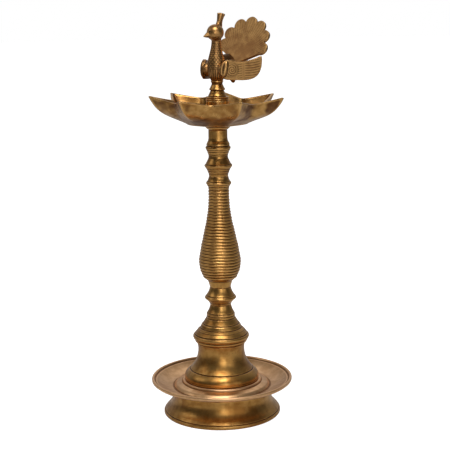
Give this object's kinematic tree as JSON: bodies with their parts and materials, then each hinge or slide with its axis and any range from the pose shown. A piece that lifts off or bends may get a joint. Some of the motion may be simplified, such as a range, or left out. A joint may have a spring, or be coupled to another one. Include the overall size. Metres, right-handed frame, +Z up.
{
  "type": "standing oil lamp",
  "caption": "Tall turned brass oil lamp with a footed drip plate, bell base, ribbed baluster stem, pointed-spout oil bowl and peacock finial, screwed together.",
  "frame": {"origin": "centre of the foot's bottom face, on the surface that the lamp stands on", "axes": "+Z up along the stem's axis; -Y towards the viewer, +X to the viewer's right; the peacock looks towards -X and -Y"},
  "size_m": [0.163, 0.163, 0.4568],
  "materials": {
    "base_brass": "turned cast brass, worn satin with brown tarnish in the grooves",
    "plate_brass": "turned cast brass, satin with a pinkish bronze tone on the broad face",
    "stem_brass": "turned cast brass, satin with darker grooves and small casting pits",
    "bowl_brass": "cast brass filed smooth, satin with darker tarnish inside",
    "finial_brass": "turned cast brass, dull satin",
    "peacock_brass": "cast and engraved brass, dark tarnish in the engraving",
    "fastener_brass": "plain machined brass, dull"
  },
  "bodies": {
    "base": {"foot_ring": "base_brass", "drip_plate": "plate_brass", "bell_pedestal": "base_brass", "base_tie_rod": "fastener_brass", "base_washer": "fastener_brass", "base_nut": "fastener_brass", "lower_stud": "fastener_brass"},
    "knop": {"lower_knop": "stem_brass"},
    "baluster": {"ribbed_baluster": "stem_brass", "middle_stud": "fastener_brass"},
    "collar": {"column_collar": "stem_brass"},
    "column": {"upper_column": "stem_brass", "bowl_stud": "fastener_brass"},
    "bowl_seat_ring": {"bowl_seat": "stem_brass"},
    "bowl": {"oil_bowl": "bowl_brass"},
    "finial_seat_ring": {"finial_ring": "finial_brass"},
    "finial": {"finial_stud": "fastener_brass", "finial_base": "finial_brass", "peacock_body": "peacock_brass", "left_wing": "peacock_brass", "right_wing": "peacock_brass", "wing_pin": "fastener_brass", "tail_fan": "peacock_brass", "fan_pin": "fastener_brass"}
  },
  "joints": [
    {"name": "lower_screw_turn", "type": "hinge", "parent": "base", "child": "knop", "pos_m": [0, 0, 0.1281], "axis": [0, 0, 1], "range_deg": [0, 1800]},
    {"name": "lower_screw_rise", "type": "slide", "parent": "knop", "child": "baluster", "axis": [0, 0, 1], "range_m": [0, 0.0125]},
    {"name": "middle_screw_turn", "type": "hinge", "parent": "baluster", "child": "collar", "pos_m": [0, 0, 0.2631], "axis": [0, 0, 1], "range_deg": [0, 1800]},
    {"name": "middle_screw_rise", "type": "slide", "parent": "collar", "child": "column", "axis": [0, 0, 1], "range_m": [0, 0.0125]},
    {"name": "bowl_screw_turn", "type": "hinge", "parent": "column", "child": "bowl_seat_ring", "pos_m": [0, 0, 0.3289], "axis": [0, 0, 1], "range_deg": [0, 1800]},
    {"name": "bowl_screw_rise", "type": "slide", "parent": "bowl_seat_ring", "child": "bowl", "axis": [0, 0, 1], "range_m": [0, 0.0125]},
    {"name": "finial_screw_turn", "type": "hinge", "parent": "bowl", "child": "finial_seat_ring", "pos_m": [0, 0, 0.3639], "axis": [0, 0, 1], "range_deg": [0, 1800]},
    {"name": "finial_screw_rise", "type": "slide", "parent": "finial_seat_ring", "child": "finial", "axis": [0, 0, 1], "range_m": [0, 0.01]}
  ],
  "couplings": [
    {"joint": "lower_screw_rise", "follows": "lower_screw_turn", "m_per_rad": 0.00039788},
    {"joint": "middle_screw_rise", "follows": "middle_screw_turn", "m_per_rad": 0.00039788},
    {"joint": "bowl_screw_rise", "follows": "bowl_screw_turn", "m_per_rad": 0.00039788},
    {"joint": "finial_screw_rise", "follows": "finial_screw_turn", "m_per_rad": 0.0003183}
  ]
}
